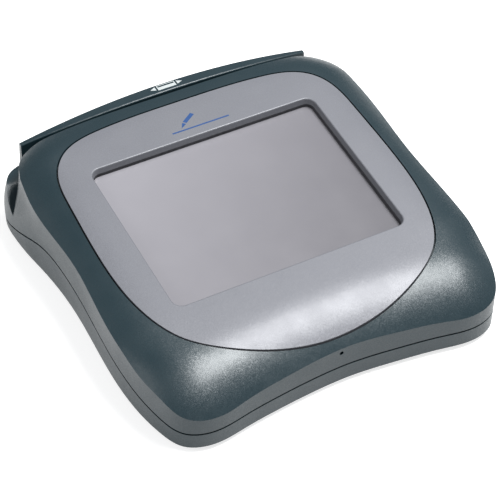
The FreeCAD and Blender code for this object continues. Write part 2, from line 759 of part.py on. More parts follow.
def bow_front(body):
    """Cuts the rail's front face to a wide arc, so that the channel opens towards both ends."""
    reach, radius = size("rail_half") + 1, size("rail_bow")
    back = radius - math.sqrt(radius ** 2 - reach ** 2)
    bow = new_sketch(body, "rail_bow_cut", "XY_Plane", "channel_floor - 1")
    corners = [Vector(-reach, back, 0), Vector(-reach, -1, 0), Vector(reach, -1, 0),
               Vector(reach, back, 0)]
    lines = [Part.LineSegment(start, end) for start, end in zip(corners, corners[1:])]
    bow.addGeometry(lines + [Part.Arc(corners[0], Vector(0, 0, 0), corners[3])], False)
    for joint in ((0, 2, 1, 1), (1, 2, 2, 1), (2, 2, 3, 2), (3, 1, 0, 1)):
        bow.addConstraint(Sketcher.Constraint("Coincident", *joint))
    bow.addConstraint(Sketcher.Constraint("Vertical", 0))
    bow.addConstraint(Sketcher.Constraint("Horizontal", 1))
    bow.addConstraint(Sketcher.Constraint("Vertical", 2))
    driven(bow, Sketcher.Constraint("DistanceX", -1, 1, 1, 1, -reach), "-rail_half - 1")
    driven(bow, Sketcher.Constraint("DistanceX", -1, 1, 1, 2, reach), "rail_half + 1")
    bow.addConstraint(Sketcher.Constraint("DistanceY", -1, 1, 1, 1, -1.0))
    bow.addConstraint(Sketcher.Constraint("PointOnObject", 3, 3, -2))
    bow.addConstraint(Sketcher.Constraint("PointOnObject", -1, 1, 3))
    driven(bow, Sketcher.Constraint("Radius", 3, radius), "rail_bow")
    pocket(body, bow, "rail_top", reverse=True)


def is_crown(edge):
    """True for a long arched edge along the rail's top."""
    bounds = edge.BoundBox
    return bounds.XLength > size("rail_half") and bounds.ZMin > size("channel_floor") + 5


def rubber_feet():
    pieces = []
    for number, (x, y) in enumerate(foot_places()):
        body = new_body("foot%d" % number)
        half = new_sketch(body, "foot_half%d" % number, "XZ_Plane")
        polygon(half, [("0", "0"), ("foot_radius - 1", "0"), ("foot_radius", "1"),
                       ("foot_radius", "floor_level + foot_recess"), ("0", "floor_level + foot_recess")])
        revolve(body, half)
        pieces.append(put(body, x, y, 0))
    return group("rubber_feet", *pieces)


def screw(name, head_radius, head_height, shank_radius, length, drive=1.2):
    """A pan-head screw about its own axis: head below, shank upwards, cross drive in the head."""
    body = new_body(name)
    half = new_sketch(body, name + "_half", "XZ_Plane")
    polygon(half, [(0, 0), (head_radius - 0.4, 0), (head_radius, 0.4), (head_radius, head_height),
                   (shank_radius, head_height), (shank_radius, "%s + %s" % (head_height, length - 0.6)),
                   (shank_radius - 0.5, "%s + %s" % (head_height, length)),
                   (0, "%s + %s" % (head_height, length))])
    revolve(body, half)
    for index, (width, depth) in enumerate(((2 * drive, 0.5), (0.5, 2 * drive))):
        slot = new_sketch(body, "%s_slot%d" % (name, index))
        rectangle(slot, width, depth)
        pocket(body, slot, head_height * 0.6, reverse=True)
    return body


def housing_screws():
    return group("housing_screws", *[
        put(screw("housing_screw%d" % number, 2.8, 2.0, 1.28, 11.0), x, y, "floor_level + 2")
        for number, (x, y) in enumerate(screw_places())])


def board_screws():
    """Four screws that hold the main board, heads up."""
    pieces = []
    for number, (side, end) in enumerate((a, b) for a in ("", "-") for b in "+-"):
        piece = screw("board_screw%d" % number, 2.6, 1.6, 1.18, 4.6)
        piece.Placement = Placement(Vector(), Rotation(Vector(1, 0, 0), 180))
        pieces.append(put(piece, side + "standoff_x", "board_y %s standoff_y" % end,
                          "board_level + board_thickness + 1.6"))
    return group("board_screws", *pieces)


def display_screws():
    pieces = []
    for number, (x, y) in enumerate(tab_places()):
        piece = screw("display_screw%d" % number, 2.2, 1.3, 0.98, 3.6)
        pieces.append(place_on_deck(piece, x, y, -8.5))
    return group("display_screws", *pieces)


def rail_screws():
    return group("rail_screws", *[
        put(screw("rail_screw%d" % number, 1.9, 1.4, 0.98, 8.0, 1.0), x, y,
            "channel_floor - wall - 1.4")
        for number, (x, y) in enumerate(rail_screw_places())])


def reader_screws():
    pieces = []
    for number, side in enumerate(("", "-")):
        piece = screw("reader_screw%d" % number, 2.0, 1.2, 0.88, 4.6)
        piece.Placement = Placement(Vector(), Rotation(Vector(1, 0, 0), -90))
        pieces.append(put(piece, side + "post_x", "window_y + channel_front - 12.46", "head_level"))
    return group("reader_screws", *pieces)


def mount_inserts():
    """Threaded brass inserts for a stand, flush with the underside."""
    pieces = []
    for number, (side, end) in enumerate((a, b) for a in ("", "-") for b in ("", "-")):
        body = new_body("insert%d" % number)
        sleeve = new_sketch(body, "insert_sleeve%d" % number)
        circle(sleeve, "insert_radius")
        circle(sleeve, "insert_bore")
        pad(body, sleeve, "insert_length - 0.1")
        groove = new_sketch(body, "insert_groove%d" % number, "XZ_Plane")
        rectangle(groove, 0.6, 0.8, "insert_radius", "insert_length / 2")
        step = body.newObject("PartDesign::Groove", "insert_waist%d" % number)
        step.Profile = groove
        step.ReferenceAxis = (groove, ["V_Axis"])
        step.Angle = 360
        pieces.append(put(body, side + "mount_spacing / 2", end + "mount_spacing / 2", "floor_level"))
    return group("mount_inserts", *pieces)


# ---------------------------------------------------------------- display
def touch_panel():
    return place_on_deck(slab("touch_panel", "panel_width", "panel_height", "touch_thickness", 1.0),
                         0, 0, "-window_depth - touch_thickness")


def lcd_cell():
    return place_on_deck(slab("lcd_cell", "panel_width", "panel_height", "cell_thickness"),
                         0, 0, "-window_depth - touch_thickness - cell_thickness")


def window_gasket():
    body = new_body("window_gasket")
    outline = new_sketch(body, "gasket_outline")
    inset_width = "window_width - 2 * window_taper + 2 * gasket_inset"
    inset_height = "window_height - 2 * window_taper + 2 * gasket_inset"
    rectangle(outline, "window_width + 2 * gasket_rim", "window_height + 2 * gasket_rim")
    rectangle(outline, inset_width, inset_height)
    pad(body, outline, "gasket_thickness - 0.02")
    dress(body, "Fillet", "window_corner - window_taper",
          lambda edge: upright(edge) and abs(edge.CenterOfMass.x) < size("window_width") / 2)
    return place_on_deck(body, 0, 0, "-window_depth + 0.01")


def lcd_frame():
    """Pressed tray around the display stack, with four screw tabs."""
    body = new_body("lcd_frame")
    width = "panel_width + 2 * frame_clearance"
    height = "panel_height + 2 * frame_clearance"
    tray = new_sketch(body, "tray_outline")
    rectangle(tray, width + " + 2 * frame_wall", height + " + 2 * frame_wall")
    pad(body, tray, "frame_wall + cell_thickness + 0.6")
    dress(body, "Fillet", 1.2, upright)
    room = new_sketch(body, "tray_room", "XY_Plane", "frame_wall")
    rectangle(room, width, height)
    pocket(body, room, 20, reverse=True)
    tabs = new_sketch(body, "tray_tabs", "XY_Plane", "frame_wall + cell_thickness - 0.4")
    for x, y in tab_places():
        sign = "-" if y.startswith("-") else ""
        rectangle(tabs, "tab_width", 12, x, "%s(tab_y - 1)" % sign)
    pad(body, tabs, 1.0)
    again = new_sketch(body, "tray_room_again", "XY_Plane", "frame_wall")
    rectangle(again, width, height)
    pocket(body, again, 20, reverse=True)
    holes = new_sketch(body, "tab_holes", "XY_Plane", 0)
    for x, y in tab_places():
        circle(holes, 1.2, x, y)
    pocket(body, holes, 20, reverse=True)
    return place_on_deck(body, 0, 0, "-window_depth - touch_thickness - cell_thickness - frame_wall")


# ---------------------------------------------------------------- electronics
def main_board():
    body = new_body("main_board")
    outline = new_sketch(body, "board_outline")
    rectangle(outline, "board_width", "board_depth")
    for side, end in ((a, b) for a in ("", "-") for b in ("", "-")):
        circle(outline, 1.5, side + "standoff_x", end + "standoff_y")
    pad(body, outline, "board_thickness")
    dress(body, "Fillet", 2.0, upright)
    return put(body, 0, "board_y", "board_level")


def on_board(body, x, y):
    return put(body, x, "board_y + (%s)" % y, "board_level + board_thickness")


def processor():
    body = slab("processor", 24, 24, 1.6, 0.6)
    dot = new_sketch(body, "pin_one_dot", "XY_Plane", 1.6)
    circle(dot, 0.8, -9.6, 9.6)
    pocket(body, dot, 0.2)
    return on_board(body, -18, 2)


def memory_chips():
    return group("memory_chips", *[
        on_board(slab("memory_chip%d" % index, 18, 10, 1.2, 0.4), -18, -20 - 14 * index)
        for index in range(2)])


def shield_can():
    """Folded metal lid, open underneath, over the radio-quiet part of the board."""
    body = slab("shield_can", 36, 30, 4.0, 0.8)
    room = new_sketch(body, "can_room")
    rectangle(room, 35.4, 29.4)
    pocket(body, room, 3.7, reverse=True)
    vents = new_sketch(body, "can_vents")
    for x in (-12, -6, 0, 6, 12):
        for y in (-8, 0, 8):
            circle(vents, 0.9, x, y)
    pocket(body, vents, 10, reverse=True)
    return on_board(body, 28, 0)


def coin_holder():
    body = new_body("coin_holder")
    outline = new_sketch(body, "holder_outline")
    circle(outline, 11.9)
    pad(body, outline, 3.0)
    well = new_sketch(body, "holder_well", "XY_Plane", 0.8)
    circle(well, 10.15)
    pocket(body, well, 5, reverse=True)
    return on_board(body, 24, -28)


def coin_cell():
    body = new_body("coin_cell")
    outline = new_sketch(body, "cell_outline")
    circle(outline, 10.0)
    pad(body, outline, 3.2)
    dress(body, "Fillet", 0.6, lambda edge: edge.BoundBox.ZMin > 3)
    return put(body, 24, "board_y - 28", "board_level + board_thickness + 0.8")


def buzzer():
    body = new_body("buzzer")
    outline = new_sketch(body, "buzzer_outline")
    circle(outline, 6.0)
    pad(body, outline, 8.5)
    hole = new_sketch(body, "buzzer_hole", "XY_Plane", 8.5)
    circle(hole, 1.2)
    pocket(body, hole, 2.0)
    dress(body, "Fillet", 0.5, lambda edge: edge.BoundBox.ZMin > 8.4 and edge.BoundBox.XLength > 8)
    return on_board(body, 48, -36)


def connector_block(name, width, depth, height, mouth, x):
    """A board socket whose mouth faces the rear wall; mouth is its width, height, foot and depth."""
    body = slab(name, width, depth, height)
    hollow = new_sketch(body, name + "_mouth", "XZ_Plane", -depth / 2)
    rectangle(hollow, mouth[0], mouth[1], 0, mouth[2] + mouth[1] / 2)
    pocket(body, hollow, mouth[3], reverse=True)
    return on_board(body, x, "port_reach - %s / 2" % depth), body


def serial_port():
    placed, body = connector_block("serial_port", 16, 18, 11, (11.8, 6.8, 2.2, 14), -16)
    notch = new_sketch(body, "latch_notch", "XZ_Plane", -9)
    rectangle(notch, 6.0, 1.6, 0, 9.7)
    pocket(body, notch, 10, reverse=True)
    return placed


def usb_port():
    placed, body = connector_block("usb_port", 12, 16, 10.8, (8.6, 7.8, 1.7, 12), 14)
    tongue = new_sketch(body, "usb_tongue", "XZ_Plane", 4.5)
    rectangle(tongue, 5.4, 3.0, 0, 5.6)
    pad(body, tongue, 11, reverse=True)
    return placed


def power_jack():
    body = slab("power_jack", 9.2, 14, 10.8)
    bore = new_sketch(body, "jack_bore", "XZ_Plane", -7)
    circle(bore, 3.15, 0, 6.2)
    circle(bore, 1.0, 0, 6.2)
    pocket(body, bore, 9.5, reverse=True)
    return on_board(body, -44, "port_reach - 7")


def backlight_inverter():
    """Small board with a wound transformer that feeds the lamp behind the display."""
    board = slab("inverter_board", 58, 12, 1.2)
    coil = slab("inverter_coil", 14, 10, 5.5, 1.0)
    put(board, 0, "window_y - 58", "floor_level + floor_thickness + 6")
    put(coil, 12, "window_y - 58", "floor_level + floor_thickness + 7.2")
    legs = [box("inverter_leg%d" % index, 3, 8, 6, x, "window_y - 58", "floor_level + floor_thickness")
            for index, x in enumerate((-22, 22))]
    return join("backlight_inverter", board, coil, *legs)


def display_flex():
    """Ribbon from the display's tray down to its socket on the main board."""
    strip = new_body("flex_strip")
    path = new_sketch(strip, "flex_side", "YZ_Plane", -16)
    low = "board_level + board_thickness + 3"
    polygon(path, [(38, low), (38.3, low), (38.3, 19.85), (30.3, 23.85), (30.3, 30.4), (30, 30.4),
                   (30, 23.65), (38, 19.65)])
    pad(strip, path, 32)
    socket = box("flex_socket", 35, 5, 3, 0, 38, "board_level + board_thickness")
    return join("display_flex", strip, socket)


# ---------------------------------------------------------------- card reader
def read_head():
    """Magnetic head whose rounded nose stands in the channel."""
    block = box("head_block", "head_width", "head_depth - 2", "head_height", 0,
                "window_y + channel_front + head_proud - 2 - (head_depth - 2) / 2",
                "head_level - head_height / 2")
    nose = rod("head_nose_rod", 10, "head_height", 0, "window_y + channel_front + head_proud - 10",
               "head_level - head_height / 2")
    slice_box = box("head_nose_slice", "head_width", 4, "head_height", 0,
                    "window_y + channel_front + head_proud - 2", "head_level - head_height / 2")
    front = doc.addObject("Part::Common", "head_nose")
    front.Base = nose
    front.Tool = slice_box
    return join("read_head", block, front)


def head_spring():
    """Leaf that presses the head into the channel from the two posts."""
    leaf = box("head_leaf", "2 * post_x + 6", 0.25, 7, 0, "window_y + channel_front - 10.0 - 0.125",
               "head_level - 3.5")
    pad_box = box("head_leaf_pad", 4, 1.6, 4, 0, "window_y + channel_front - 9.2",
                  "head_level - 2")
    whole = join("leaf_solid", leaf, pad_box)
    holes = [rod("leaf_hole%d" % number, 1.1, 2, side + "post_x", "window_y + channel_front - 11",
                 "head_level", Vector(0, 1, 0)) for number, side in enumerate(("", "-"))]
    return remove("head_spring", whole, *holes)


def reader_board():
    """Amplifier board behind the head, with an opening for the head's travel."""
    plate = box("reader_plate", "2 * post_x + 10", 1.0, 14, 0, "window_y + channel_front - 10.75",
                "head_level - 8")
    tools = [box("reader_gap", "head_width + 3", 3, 9, 0, "window_y + channel_front - 10.75",
                 "head_level - 4.5")]
    tools += [rod("reader_hole%d" % number, 1.1, 3, side + "post_x", "window_y + channel_front - 12",
                  "head_level", Vector(0, 1, 0)) for number, side in enumerate(("", "-"))]
    return remove("reader_board", plate, *tools)


def reader_cable():
    """Flat cable from the reader board down to the main board."""
    body = new_body("reader_cable")
    side = new_sketch(body, "cable_side", "YZ_Plane", 6)
    start = "window_y + channel_front - 11.25"
    foot = "board_level + board_thickness"
    polygon(side, [(start, 29.6), (start + " - 1.0", 29.6), (start + " - 1.0", foot),
                   (start + " - 0.4", foot), (start + " - 0.4", 28.8), (start, 28.8)])
    pad(body, side, 10)
    return body


# ---------------------------------------------------------------- reset button
def reset_board():
    return box("reset_board", 13, 1.2, 11, 0, "front_y + 11.0", "reset_level - 5.5")


def reset_switch():
    """Body of the push switch, bored for its button."""
    block = box("switch_block", 6.2, 3.6, 6.2, 0, "front_y + 8.6", "reset_level - 3.1")
    bore = rod("switch_bore", 1.55, 2.2, 0, "front_y + 6.6", "reset_level", Vector(0, 1, 0))
    return remove("reset_switch", block, bore)


def reset_button():
    """Button that travels into the switch when a pin is pushed through the front hole."""
    stem = rod("button_stem", 1.5, 3.5, 0, "front_y + 4.4", "reset_level", Vector(0, 1, 0))
    button = doc.addObject("Part::Fillet", "reset_button")
    button.Base = stem
    doc.recompute()
    front = [number + 1 for number, edge in enumerate(stem.Shape.Edges)
             if edge.BoundBox.YMax < size("front_y") + 4.5]
    button.Edges = [(number, 0.4, 0.4) for number in front]
    return button


# ---------------------------------------------------------------- assembly
BUILDERS = [top_housing, rear_panel, front_bezel, bottom_housing, card_rail, rubber_feet, housing_screws,
            mount_inserts, touch_panel, lcd_cell, lcd_frame, window_gasket, display_screws,
            main_board, board_screws, processor, memory_chips, shield_can, coin_holder, coin_cell,
            buzzer, serial_port, usb_port, power_jack, backlight_inverter, display_flex, read_head,
            head_spring, reader_board, reader_cable, reader_screws, rail_screws, reset_board,
            reset_switch, reset_button]


def check(parts):
    """Stops if any object failed or any sub-part has no valid solid."""
    failed = [thing.Label for thing in doc.Objects
              if "Invalid" in thing.State or "Error" in thing.State]
    bad = [label for label, part in parts.items()
           if part.Shape.isNull() or not part.Shape.isValid() or not part.Shape.Solids]
    if failed or bad:
        raise RuntimeError("failed objects: %s; bad shapes: %s" % (failed, bad))


def main():
    parts = {}
    for builder in BUILDERS:
        parts[builder.__name__] = named(builder(), builder.__name__)
    doc.recompute()
    check(parts)
    os.makedirs("parts", exist_ok=True)
    for label, part in parts.items():
        part.Shape.exportStep("parts/%s.step" % label)
        bounds = part.Shape.BoundBox
        print("%-20s %2d solids %9.1f mm3  z %.1f to %.1f" % (
            label, len(part.Shape.Solids), part.Shape.Volume, bounds.ZMin, bounds.ZMax))


main()
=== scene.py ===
"""Looks of the desktop signature terminal: paints, plastics, metals, prints, light and camera.

Metres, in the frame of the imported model: +Z up, +X right, +Y away from the person in front.
"""
import json
import math

import bmesh
import bpy
from mathutils import Matrix, Vector
from mathutils.bvhtree import BVHTree


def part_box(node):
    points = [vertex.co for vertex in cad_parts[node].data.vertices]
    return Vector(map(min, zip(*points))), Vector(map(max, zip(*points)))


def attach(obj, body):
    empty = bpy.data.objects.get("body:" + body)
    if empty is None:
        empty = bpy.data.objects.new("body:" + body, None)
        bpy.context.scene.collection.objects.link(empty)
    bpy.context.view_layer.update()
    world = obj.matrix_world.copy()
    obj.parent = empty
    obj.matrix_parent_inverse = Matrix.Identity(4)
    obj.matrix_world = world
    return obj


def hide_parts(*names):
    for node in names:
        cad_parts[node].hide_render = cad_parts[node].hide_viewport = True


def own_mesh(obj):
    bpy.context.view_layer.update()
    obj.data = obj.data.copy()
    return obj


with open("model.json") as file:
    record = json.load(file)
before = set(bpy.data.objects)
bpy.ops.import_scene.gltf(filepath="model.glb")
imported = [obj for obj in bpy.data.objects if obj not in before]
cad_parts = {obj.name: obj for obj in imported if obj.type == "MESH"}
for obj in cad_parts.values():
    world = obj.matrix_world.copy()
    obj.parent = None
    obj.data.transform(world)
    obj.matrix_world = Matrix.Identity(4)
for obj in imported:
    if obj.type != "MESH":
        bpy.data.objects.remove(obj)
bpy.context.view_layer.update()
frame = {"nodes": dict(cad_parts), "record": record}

MM = 0.001
NODES = frame["nodes"]

CAMERA_PLACE = (-0.3114, -0.5661, 0.6437)
CAMERA_TURN = (45.569, -0.653, -28.159)  # degrees about X, Y and Z
CAMERA_LENS = 138.7
CAMERA_SENSOR = 36.0

# name: the direction it comes from, its distance, width, depth and watts
SOFT_BOXES = {
    "key": ((0.34, -0.11, 0.935), 1.3, 0.76, 0.40, 36),
    "rear_card": ((0.06, 0.52, 0.85), 1.5, 0.34, 0.60, 0.5),
    "left_fill": ((-0.86, 0.10, 0.50), 1.4, 1.0, 0.8, 7),
}
LIGHT_TARGET = (0, 0, 0.03)
SKY_COLOUR = (0.95, 0.97, 1.0, 1)
SKY_STRENGTH = 0.38

FLOOR_LEVEL = -0.2 * MM
FLOOR_REACH = 6.0
FLOOR_SHADES = (0.46, 0.48)
FLOOR_GLOW = 0.72

INK_HEIGHT = 0.03 * MM


# ---------------------------------------------------------------- material building blocks
class Look:
    """A material made of nodes around one Principled shader."""

    def __init__(self, name, **sockets):
        self.material = bpy.data.materials.new(name)
        self.material.use_nodes = True
        self.tree = self.material.node_tree
        self.shader = self.tree.nodes["Principled BSDF"]
        for socket, value in sockets.items():
            self.shader.inputs[socket.replace("_", " ")].default_value = value
        self.where = self.tree.nodes.new("ShaderNodeTexCoord").outputs["Object"]

    def node(self, kind, **settings):
        made = self.tree.nodes.new("ShaderNode" + kind)
        for name, value in settings.items():
            setattr(made, name, value)
        return made

    def link(self, source, target):
        self.tree.links.new(source, target)

    def noise(self, scale, detail=4.0, roughness=0.55, stretch=(1, 1, 1)):
        """Cloudy values about 0.5 at so many features to the metre."""
        texture = self.node("TexNoise")
        texture.inputs["Scale"].default_value = scale
        texture.inputs["Detail"].default_value = detail
        texture.inputs["Roughness"].default_value = roughness
        if stretch == (1, 1, 1):
            self.link(self.where, texture.inputs["Vector"])
        else:
            mapping = self.node("Mapping")
            mapping.inputs["Scale"].default_value = stretch
            self.link(self.where, mapping.inputs["Vector"])
            self.link(mapping.outputs["Vector"], texture.inputs["Vector"])
        return texture.outputs["Fac"]

    def cells(self, scale):
        """A random colour for each small cell, at so many cells to the metre."""
        texture = self.node("TexVoronoi")
        texture.inputs["Scale"].default_value = scale
        self.link(self.where, texture.inputs["Vector"])
        return texture.outputs["Color"]

    def ramp(self, value, stops):
        """Turns a value into a colour; stops are (place, colour)."""
        ramp = self.node("ValToRGB")
        elements = ramp.color_ramp.elements
        while len(elements) < len(stops):
            elements.new(0.5)
        for element, (place, colour) in zip(elements, stops):
            element.position = place
            element.color = (*colour, 1)
        self.link(value, ramp.inputs["Fac"])
        return ramp.outputs["Color"]

    def spread(self, value, low, high, start=0.3, end=0.7):
        """Maps a value from start..end to low..high."""
        mapped = self.node("MapRange")
        for socket, number in (("From Min", start), ("From Max", end), ("To Min", low),
                               ("To Max", high)):
            mapped.inputs[socket].default_value = number
        self.link(value, mapped.inputs["Value"])
        return mapped.outputs["Result"]

    def bump(self, value, depth, strength, normal=None):
        bump = self.node("Bump")
        bump.inputs["Strength"].default_value = strength
        bump.inputs["Distance"].default_value = depth
        self.link(value, bump.inputs["Height"])
        if normal is not None:
            self.link(normal, bump.inputs["Normal"])
        return bump.outputs["Normal"]

    def flakes(self, scale, tilt):
        """A surface normal that leans a random way in each small cell, as metal flakes lie."""
        centred = self.node("VectorMath", operation="SUBTRACT")
        self.link(self.cells(scale), centred.inputs[0])
        centred.inputs[1].default_value = (0.5, 0.5, 0.5)
        scaled = self.node("VectorMath", operation="SCALE")
        self.link(centred.outputs[0], scaled.inputs[0])
        scaled.inputs["Scale"].default_value = tilt
        added = self.node("VectorMath", operation="ADD")
        self.link(scaled.outputs[0], added.inputs[0])
        self.link(self.node("NewGeometry").outputs["Normal"], added.inputs[1])
        unit = self.node("VectorMath", operation="NORMALIZE")
        self.link(added.outputs[0], unit.inputs[0])
        return unit.outputs[0]

    def colour(self, source):
        self.link(source, self.shader.inputs["Base Color"])
        return self

    def rough(self, source):
        self.link(source, self.shader.inputs["Roughness"])
        return self

    def normal(self, source):
        self.link(source, self.shader.inputs["Normal"])
        return self


def shade(colour, factor):
    return tuple(min(channel * factor, 1.0) for channel in colour)


# ---------------------------------------------------------------- the materials
def flake_paint(name, colour, metallic, roughness, flake_tilt, coat):
    """Satin paint with fine metal flakes, a slight orange peel and a little wear in its gloss."""
    look = Look(name, Metallic=metallic, Coat_Weight=coat, Coat_Roughness=0.22, IOR=1.5)
    grain = look.cells(3600)
    look.colour(look.ramp(grain, [(0.0, shade(colour, 0.90)), (0.55, colour),
                                  (1.0, shade(colour, 1.14))]))
    look.rough(look.spread(look.noise(60, 6), roughness - 0.035, roughness + 0.045))
    peel = look.bump(look.noise(900, 2), 0.02 * MM, 0.25, look.flakes(3600, flake_tilt))
    return look.normal(peel).material


def moulded(name, colour, roughness, grain_depth=0.03):
    """Fine spark-eroded plastic."""
    look = Look(name, IOR=1.5)
    look.colour(look.ramp(look.noise(350, 5), [(0.3, shade(colour, 0.82)),
                                               (0.7, shade(colour, 1.18))]))
    look.rough(look.spread(look.noise(120, 5), roughness - 0.06, roughness + 0.06))
    return look.normal(look.bump(look.noise(3800, 2), grain_depth * MM, 0.6)).material


def metal(name, colour, roughness, grain=(1, 1, 1)):
    """Bare or plated metal, with a grain when stretched."""
    look = Look(name, Metallic=1.0)
    look.colour(look.ramp(look.noise(240, 5), [(0.3, shade(colour, 0.85)),
                                               (0.7, shade(colour, 1.08))]))
    look.rough(look.spread(look.noise(300, 5, 0.6, grain), roughness - 0.07, roughness + 0.09))
    return look.normal(look.bump(look.noise(900, 4, 0.6, grain), 0.01 * MM, 0.5)).material


def screen_film():
    """Hard-coated resistive film over an unlit display: matt, faintly pink, with a painted reflection
    that makes it paler at the rear left.
    """
    look = Look("screen_film", IOR=1.48, Coat_Weight=0.25, Coat_Roughness=0.3)
    # Painted reflection: the colour grows paler towards the rear left, as the studio light reflected
    # in the film would, with faint random clouding.
    painted_reflection_slope = look.node("VectorMath", operation="DOT_PRODUCT")
    look.link(look.where, painted_reflection_slope.inputs[0])
    painted_reflection_slope.inputs[1].default_value = (-0.66, 0.55, 0.0)
    reflection_and_clouding = look.node("Math", operation="MULTIPLY_ADD")
    look.link(look.noise(14, 3), reflection_and_clouding.inputs[0])
    reflection_and_clouding.inputs[1].default_value = 0.010
    look.link(painted_reflection_slope.outputs["Value"], reflection_and_clouding.inputs[2])
    share = look.spread(reflection_and_clouding.outputs[0], 0, 1, -0.060, 0.072)
    look.colour(look.ramp(share, [(0.0, (0.078, 0.076, 0.085)), (1.0, (0.206, 0.202, 0.221))]))
    look.rough(look.spread(look.noise(45, 6, 0.65), 0.30, 0.40))
    return look.normal(look.bump(look.noise(5200, 2), 0.004 * MM, 0.5)).material


def laminate():
    """Solder-masked board with copper tracks showing faintly through."""
    look = Look("laminate", IOR=1.5, Coat_Weight=0.4, Coat_Roughness=0.2)
    tracks = look.node("TexWave", wave_type="BANDS", bands_direction="DIAGONAL")
    tracks.inputs["Scale"].default_value = 260
    tracks.inputs["Distortion"].default_value = 14
    tracks.inputs["Detail Scale"].default_value = 0.6
    look.link(look.where, tracks.inputs["Vector"])
    look.colour(look.ramp(tracks.outputs["Fac"], [(0.42, (0.010, 0.085, 0.036)),
                                                  (0.58, (0.022, 0.15, 0.065))]))
    look.rough(look.spread(look.noise(200), 0.32, 0.45))
    return look.normal(look.bump(tracks.outputs["Fac"], 0.02 * MM, 0.5)).material


def film_ribbon():
    """Amber polyimide with straight conductors."""
    look = Look("ribbon_film", IOR=1.6, Coat_Weight=0.3, Coat_Roughness=0.15)
    lines = look.node("TexWave", wave_type="BANDS", bands_direction="X")
    lines.inputs["Scale"].default_value = 300
    look.link(look.where, lines.inputs["Vector"])
    look.colour(look.ramp(lines.outputs["Fac"], [(0.45, (0.45, 0.20, 0.035)),
                                                 (0.6, (0.30, 0.12, 0.02))]))
    look.rough(look.spread(look.noise(180), 0.25, 0.38))
    return look.normal(look.bump(lines.outputs["Fac"], 0.02 * MM, 0.5)).material


def soft_black(name, colour, roughness, pores, depth):
    """Rubber or foam: matt, with pores."""
    look = Look(name, IOR=1.45)
    look.colour(look.ramp(look.noise(500, 5), [(0.3, shade(colour, 0.7)), (0.7, shade(colour, 1.4))]))
    look.rough(look.spread(look.noise(150), roughness - 0.05, min(roughness + 0.06, 1.0)))
    return look.normal(look.bump(look.noise(pores, 3), depth * MM, 0.8)).material


def print_ink(name, colour):
    """Pad-printed ink, a little uneven in cover."""
    look = Look(name, IOR=1.5)
    look.colour(look.ramp(look.noise(1400, 4), [(0.3, shade(colour, 0.86)), (0.7, colour)]))
    look.rough(look.spread(look.noise(800), 0.4, 0.55))
    return look.normal(look.bump(look.noise(2600, 2), 0.004 * MM, 0.5)).material


TEAL = (0.006, 0.018, 0.024)
SILVER = (0.118, 0.122, 0.137)

MATERIALS = {
    "painted_shell": flake_paint("teal_paint", TEAL, 0.08, 0.39, 0.13, 0.05),
    "bezel_silver": flake_paint("silver_paint", SILVER, 0.12, 0.46, 0.12, 0.05),
    "screen_glass": screen_film(),
    "cell_glass": moulded("cell_glass", (0.06, 0.065, 0.07), 0.2, 0.004),
    "foam": soft_black("gasket_foam", (0.034, 0.034, 0.039), 0.9, 2600, 0.08),
    "rubber": soft_black("foot_rubber", (0.022, 0.022, 0.024), 0.78, 1800, 0.05),
    "sheet_steel": metal("tinned_steel", (0.58, 0.59, 0.60), 0.3, (1, 14, 1)),
    "screw_steel": metal("zinc_steel", (0.50, 0.51, 0.52), 0.33),
    "brass": metal("turned_brass", (0.72, 0.52, 0.24), 0.27, (1, 1, 30)),
    "circuit_board": laminate(),
    "chip": moulded("chip_epoxy", (0.018, 0.018, 0.020), 0.5),
    "black_plastic": moulded("black_nylon", (0.020, 0.020, 0.022), 0.48),
    "nickel": metal("nickel_plate", (0.66, 0.64, 0.60), 0.24, (20, 1, 1)),
    "ribbon": film_ribbon(),
    "button_plastic": moulded("button_acetal", (0.62, 0.62, 0.60), 0.4),
}
WHITE_INK = print_ink("white_ink", (0.38, 0.41, 0.41))
BLUE_INK = print_ink("blue_ink", (0.002, 0.040, 0.150))
GOLD = metal("contact_gold", (0.85, 0.62, 0.28), 0.2)
LABEL_PAPER = print_ink("label_film", (0.60, 0.61, 0.61))


def dress_nodes():
    """Gives every CAD node the material of its slot."""
    for part in frame["record"]["subparts"]:
        materials = NODES[part["node"]].data.materials
        materials.clear()
        materials.append(MATERIALS[part["material_slot"]])


# ---------------------------------------------------------------- small pieces of mesh
def finish_piece(name, bm, material):
    """Turns built geometry into an object that rides on the housing."""
    bmesh.ops.remove_doubles(bm, verts=bm.verts, dist=1e-7)
    bmesh.ops.recalc_face_normals(bm, faces=bm.faces)
    mesh = bpy.data.meshes.new(name)
    bm.to_mesh(mesh)
    bm.free()
    mesh.materials.append(material)
    piece = bpy.data.objects.new(name, mesh)
    bpy.context.scene.collection.objects.link(piece)
    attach(piece, "root")
    return piece


def blocks(name, boxes, material):
    """Small boxes, each given by its two corners in metres."""
    bm = bmesh.new()
    for low, high in boxes:
        middle = [(a + b) / 2 for a, b in zip(low, high)]
        lengths = [b - a for a, b in zip(low, high)]
        place = Matrix.Translation(middle) @ Matrix.Diagonal((*lengths, 1))
        bmesh.ops.create_cube(bm, size=1, matrix=place)
    return finish_piece(name, bm, material)


def surface_of(node):
    """A tree that finds where a downward line meets a CAD node."""
    mesh = NODES[node].data
    return BVHTree.FromPolygons([vertex.co for vertex in mesh.vertices],
                                [list(face.vertices) for face in mesh.polygons])


def strip(outline_left, outline_right, steps):
    """Quads between two edges of a flat figure, each edge a pair of (x, y) points."""
    rows = []
    for step in range(steps + 1):
        share = step / steps
        rows.append([tuple(a + (b - a) * share for a, b in zip(outline_left[end], outline_right[end]))
                     for end in (0, 1)])
    return [(rows[i][0], rows[i + 1][0], rows[i + 1][1], rows[i][1]) for i in range(steps)]


def bar(x0, x1, y0, y1, steps=6):
    return strip(((x0, y0), (x0, y1)), ((x1, y0), (x1, y1)), steps)


